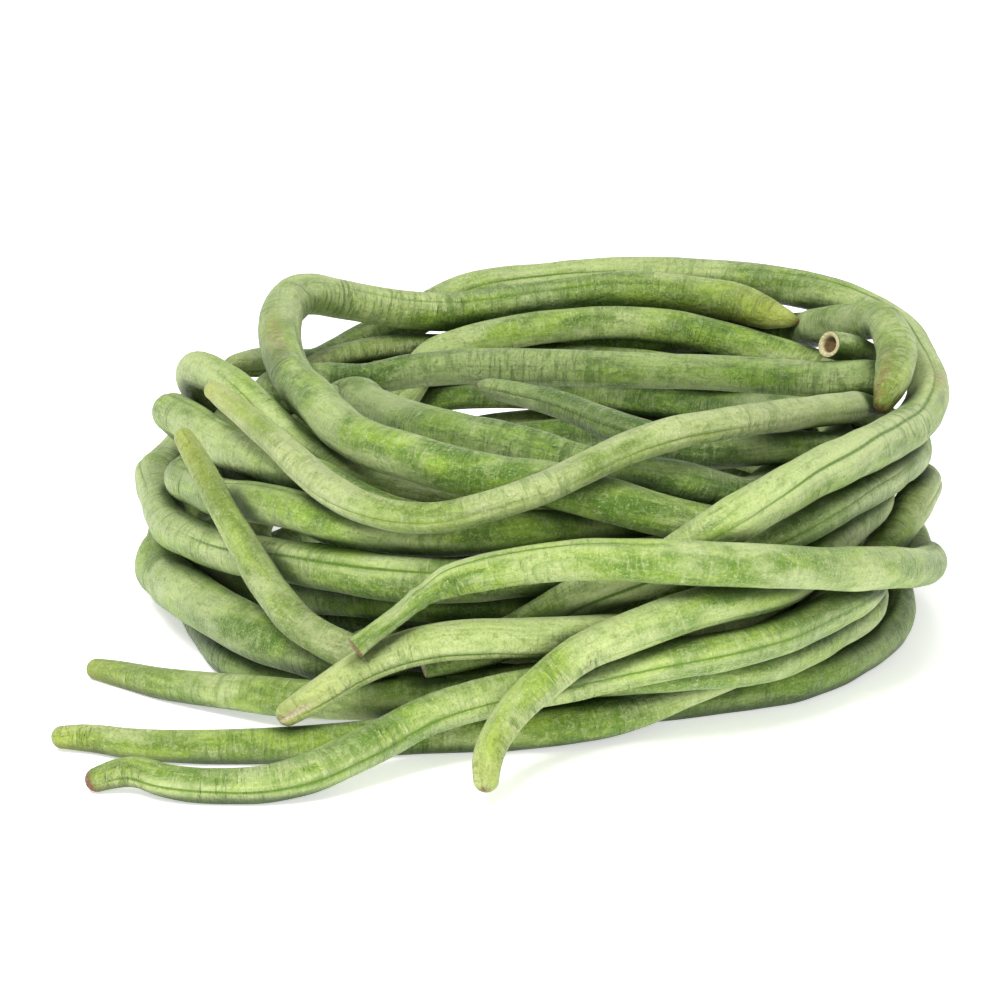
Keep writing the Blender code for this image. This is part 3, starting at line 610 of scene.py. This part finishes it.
def add_contact_shade(pods):
    """Measure where each pod lies close to others or to the floor, and keep it as a mask for the painted
    shade there.
    """
    samples = [middle_samples(pod) for pod in pods]
    for number, pod in enumerate(pods):
        others = samples[:number] + samples[number + 1 :]
        centres = np.concatenate([sample[0] for sample in others])
        radii = np.concatenate([sample[1] for sample in others])
        count = len(pod["at"])
        rows = np.unique(np.append(np.arange(0, count, SHADE_EVERY_RING), count - 1))
        turns = np.arange(0, len(ROUND), SHADE_EVERY_TURN)
        points = (pod["place"] + SHADE_GAP_LIFT * pod["outward"])[np.ix_(rows, turns)].reshape(-1, 3)
        gap = nearest_gap(points, centres, radii)
        near = np.clip(1 - gap / SHADE_GAP_REACH, 0, 1).reshape(len(rows), len(turns))
        along = np.stack([np.interp(np.arange(count), rows, column) for column in near.T], axis=1)
        closed = np.column_stack([along, along[:, 0]])
        ends = np.append(turns, len(ROUND))
        pod["masks"]["contact_shade"] = np.stack([np.interp(np.arange(len(ROUND)), ends, row) for row in closed])


def hollow_rings(pod):
    """The rings that close a cut end with a rim of flesh round a hollow, deepest first."""
    first, centre, direction = pod["place"][0], pod["centre"][0], pod["direction"][0]
    return np.array([centre + (first - centre) * share + direction * deep * MM for share, deep in HOLLOW])


def repeat_first(array, rings):
    """Repeat the first ring's values for the rings of a hollow end."""
    return np.concatenate([np.repeat(array[:1], rings, axis=0), array])


def build_mesh(name, pod):
    """A closed mesh of rings, with its skin's coordinates and masks."""
    place, skin, masks = pod["place"], pod["skin"], dict(pod["masks"])
    flesh = np.zeros(place.shape[:2])
    pith = np.zeros(place.shape[:2])
    if pod["cut"]:
        added = hollow_rings(pod)
        place = np.concatenate([added, place])
        skin = repeat_first(skin, len(added))
        skin[: len(added) + 1] = place[: len(added) + 1]
        masks = {mask: repeat_first(values, len(added)) for mask, values in masks.items()}
        flesh = repeat_first(flesh, len(added))
        flesh[: len(added) + 1] = 1.0
        pith = repeat_first(pith, len(added))
        pith[:PITH_RINGS] = 1.0
    rings, turns = place.shape[:2]
    index = np.arange(rings * turns).reshape(rings, turns)
    after = np.roll(index, -1, axis=1)
    quads = np.stack([index[:-1], index[1:], after[1:], after[:-1]], axis=-1).reshape(-1, 4)
    faces = quads.tolist() + [index[0].tolist(), index[-1][::-1].tolist()]
    mesh = bpy.data.meshes.new(name)
    mesh.from_pydata(place.reshape(-1, 3).tolist(), [], faces)
    mesh.validate()
    layer = mesh.attributes.new("skin", "FLOAT_VECTOR", "POINT")
    layer.data.foreach_set("vector", skin.astype(np.float32).ravel())
    for mask, values in dict(masks, flesh=flesh, pith=pith).items():
        layer = mesh.attributes.new(mask, "FLOAT", "POINT")
        spread = np.broadcast_to(values, (rings, turns))
        layer.data.foreach_set("value", spread.astype(np.float32).ravel())
    mesh.shade_smooth()
    return mesh


class Graph:
    """A material's nodes, made with short calls."""

    def __init__(self, name):
        self.material = bpy.data.materials.new(name)
        self.material.use_nodes = True
        self.tree = self.material.node_tree
        self.shader = self.tree.nodes["Principled BSDF"]

    def node(self, kind, **settings):
        """A new node with these settings."""
        made = self.tree.nodes.new(kind)
        for key, value in settings.items():
            setattr(made, key, value)
        return made

    def put(self, value, socket):
        """Link an output to a socket, or set the socket's own value."""
        if isinstance(value, bpy.types.NodeSocket):
            self.tree.links.new(value, socket)
        elif isinstance(value, tuple) and len(value) == 3 and socket.type == "RGBA":
            socket.default_value = (*value, 1)
        else:
            socket.default_value = value

    def mask(self, name):
        """One of the values that the mesh holds at each corner."""
        return self.node("ShaderNodeAttribute", attribute_name=name).outputs["Fac"]

    def math(self, operation, a, b, clamp=False):
        """A sum, product or greater value of two."""
        made = self.node("ShaderNodeMath", operation=operation, use_clamp=clamp)
        self.put(a, made.inputs[0])
        self.put(b, made.inputs[1])
        return made.outputs[0]

    def noise(self, vector, stretch, scale, detail, roughness, distortion):
        """A noise over stretched coordinates, from about 0 to 1."""
        stretched = self.node("ShaderNodeVectorMath", operation="MULTIPLY")
        self.put(vector, stretched.inputs[0])
        stretched.inputs[1].default_value = stretch
        made = self.node("ShaderNodeTexNoise")
        self.put(stretched.outputs[0], made.inputs["Vector"])
        made.inputs["Scale"].default_value = scale
        made.inputs["Detail"].default_value = detail
        made.inputs["Roughness"].default_value = roughness
        made.inputs["Distortion"].default_value = distortion
        return made.outputs["Fac"]

    def between(self, value, low, high, out_low=0.0, out_high=1.0):
        """A value spread from one range to another, held inside it."""
        made = self.node("ShaderNodeMapRange", interpolation_type="SMOOTHSTEP")
        self.put(value, made.inputs["Value"])
        for key, number in (("From Min", low), ("From Max", high), ("To Min", out_low), ("To Max", out_high)):
            made.inputs[key].default_value = number
        return made.outputs["Result"]

    def mix(self, share, a, b):
        """A mixture of two colours, by the share of the second."""
        made = self.node("ShaderNodeMix", data_type="RGBA")
        self.put(share, made.inputs["Factor"])
        self.put(a, made.inputs["A"])
        self.put(b, made.inputs["B"])
        return next(socket for socket in made.outputs if socket.type == "RGBA")

    def bump(self, height, distance, strength=1.0, normal=None):
        """The normal of a surface with this relief over another's."""
        made = self.node("ShaderNodeBump")
        made.inputs["Strength"].default_value = strength
        made.inputs["Distance"].default_value = distance
        self.put(height, made.inputs["Height"])
        if normal is not None:
            self.put(normal, made.inputs["Normal"])
        return made.outputs["Normal"]


def skin_colour(g, fields, deep, middle, bloom):
    """The green of a pod: deep and pale patches, streaks, grain and wrinkles, its seams, and painted shade in
    the troughs of its folds.
    """
    colours = dict(deep=deep, bloom=bloom)
    tint = g.mask("tint")
    deepness = g.math("ADD", fields["patches"], g.math("MULTIPLY", tint, TINT_IN_PATCHES))
    colour = g.mix(g.between(deepness, *DEEP_TO_MIDDLE), deep, middle)
    paleness = g.math("ADD", fields["clouds"], g.math("MULTIPLY", tint, TINT_IN_CLOUDS))
    colour = g.mix(g.between(paleness, *MIDDLE_TO_BLOOM), colour, bloom)
    for field, start, full, most, name in LAYERS:
        colour = g.mix(g.between(fields[field], start, full, 0.0, most), colour, colours[name])
    colour = g.mix(g.math("MULTIPLY", g.mask("seed"), SEED_SHOWS), colour, middle)
    colour = g.mix(g.math("MULTIPLY", g.mask("rib"), RIB_SHOWS), colour, bloom)
    colour = g.mix(g.between(g.mask("belly"), *BELLY_SHOWS), colour, deep)
    colour = g.mix(g.between(g.mask("back"), *BACK_SHOWS), colour, deep)
    # Painted shade in the troughs of the folds, where the pod is folded
    fold_shade = g.between(fields["folds"], *FOLD_SHADE)
    fold_shade = g.math("MULTIPLY", fold_shade, g.math("MULTIPLY", fields["folded"], FOLD_SHADE_SHOWS))
    return g.mix(fold_shade, colour, deep)


def aged_colour(g, fields, colour):
    """The colour with yellow and brown ends, scars and open flesh, and how dry and how open it is."""
    colour = g.mix(g.math("MULTIPLY", g.mask("yellow"), YELLOW_SHOWS), colour, YELLOW)
    uneven = g.math("MULTIPLY", g.math("ADD", fields["clouds"], fields["grain"]), DRY_UNEVEN)
    dry = g.between(g.math("ADD", g.mask("dry"), uneven), *DRY_SHOWS)
    colour = g.mix(dry, colour, BROWN)
    scar = g.math("MULTIPLY", g.mask("scar"), g.between(fields["marks"], *SCAR_EDGE), clamp=True)
    scar = g.math("MAXIMUM", scar, g.between(fields["specks"], *SPECKS_SHOW))
    colour = g.mix(g.math("MULTIPLY", scar, SCAR_SHOWS), colour, SCAR)
    flesh = g.mix(g.between(fields["fibres"], *FLESH_FIBRES), FLESH, FLESH_SHADE)
    flesh = g.mix(g.mask("pith"), flesh, PITH)
    opened = g.math("MAXIMUM", g.mask("flesh"), g.between(g.mask("slit"), *SLIT_OPEN))
    return g.mix(opened, colour, flesh), dry, opened


def skin_normal(g, fields):
    """The relief of the skin: its folds, and finer forms over them."""
    normal = g.bump(g.math("MULTIPLY", fields["folds"], fields["folded"]), FOLD_HEIGHT)
    for field, height, strength in RELIEF:
        normal = g.bump(fields[field], height, strength, normal)
    return normal


def build_skin(slot, deep, middle, bloom):
    """The material of the pods of one slot."""
    g = Graph(slot + "_skin")
    skin = g.node("ShaderNodeAttribute", attribute_name="skin").outputs["Vector"]
    fields = {name: g.noise(skin, *settings) for name, settings in NOISES.items()}
    folded = g.between(fields["folded"], *FOLDED)
    fields["folded"] = g.math("MAXIMUM", g.mask("wrinkle"), folded)
    colour = skin_colour(g, fields, deep, middle, bloom)
    # Painted shade: the skin turns dark green where pods lie close together or on the floor
    colour = g.mix(g.between(g.mask("contact_shade"), *PAINTED_SHADE_SHOWS), colour, PAINTED_SHADE)
    colour, dry, opened = aged_colour(g, fields, colour)
    roughness = g.between(fields["grain"], *SKIN_ROUGHNESS)
    rougher = g.math("MULTIPLY", g.math("MAXIMUM", dry, opened), DRY_ROUGHNESS)
    roughness = g.math("ADD", roughness, rougher)
    shader = g.shader.inputs
    g.put(colour, shader["Base Color"])
    g.put(roughness, shader["Roughness"])
    # Less sheen under the painted shade between pods
    g.put(g.between(g.mask("contact_shade"), *SKIN_SHEEN), shader["Sheen Weight"])
    g.put(skin_normal(g, fields), shader["Normal"])
    for name, value in SKIN_SHINE.items():
        shader[name].default_value = value
    return g.material


def build_floor():
    """A plain pale floor that fills the view."""
    mesh = bpy.data.meshes.new("floor")
    corners = [(FLOOR_REACH * x, FLOOR_REACH * y, 0) for x, y in ((-1, -1), (1, -1), (1, 1), (-1, 1))]
    mesh.from_pydata(corners, [], [(0, 1, 2, 3)])
    floor = bpy.data.objects.new("floor", mesh)
    floor.location.z = -FLOOR_BELOW
    bpy.context.scene.collection.objects.link(floor)
    g = Graph("floor_paint")
    position = g.node("ShaderNodeNewGeometry").outputs["Position"]
    shade = g.noise(position, *FLOOR_NOISE)
    g.put(g.mix(g.between(shade, *FLOOR_PATCHES), *FLOOR_SHADES), g.shader.inputs["Base Color"])
    for name, value in FLOOR_SHINE.items():
        g.shader.inputs[name].default_value = value
    mesh.materials.append(g.material)


def build_lights():
    """Soft square lights that face the bunch, and a bright surround."""
    world = bpy.data.worlds.new("surround")
    world.use_nodes = True
    background = world.node_tree.nodes["Background"]
    background.inputs["Color"].default_value = (1, 1, 1, 1)
    background.inputs["Strength"].default_value = SURROUND
    bpy.context.scene.world = world
    for name, (place, size, power) in LIGHTS.items():
        light = bpy.data.lights.new(name, "AREA")
        light.size = size
        light.energy = power
        lamp = bpy.data.objects.new(name, light)
        lamp.location = place
        lamp.rotation_euler = (LIGHTS_FACE - Vector(place)).to_track_quat("-Z", "Y").to_euler()
        bpy.context.scene.collection.objects.link(lamp)


def build_camera():
    """The camera at the photograph's angle."""
    data = bpy.data.cameras.new("camera")
    data.sensor_width = SENSOR_MM
    data.lens = SENSOR_MM * VIEW_DISTANCE / PICTURE_WIDTH
    camera = bpy.data.objects.new("camera", data)
    back = Vector((0, -math.cos(VIEW_TILT), math.sin(VIEW_TILT)))
    camera.location = AIM + VIEW_DISTANCE * back
    camera.rotation_euler = (math.pi / 2 - VIEW_TILT, 0, 0)
    bpy.context.scene.collection.objects.link(camera)
    bpy.context.scene.camera = camera


def build_pods():
    """Each pod's fine model, in place of its solid."""
    materials = {slot: build_skin(slot, *colours) for slot, colours in SKINS.items()}
    pods = []
    for number, (node, look) in enumerate(PODS.items()):
        pods.append(pod_surface(node, look, np.random.default_rng(FIRST_SEED + number)))
        pods[-1]["skin"][..., 2] += SKIN_OFFSET * number
    add_contact_shade(pods)
    for (node, look), pod in zip(PODS.items(), pods):
        mesh = build_mesh(node + "_fine", pod)
        mesh.materials.append(materials[look.slot])
        piece = bpy.data.objects.new(node + "_fine", mesh)
        bpy.context.scene.collection.objects.link(piece)
        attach(piece, "root")
        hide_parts(node)


def build_view():
    """Show colours as they are lit, as the photograph does."""
    bpy.context.scene.view_settings.view_transform = "Standard"


build_view()
build_camera()
build_pods()
build_floor()
build_lights()
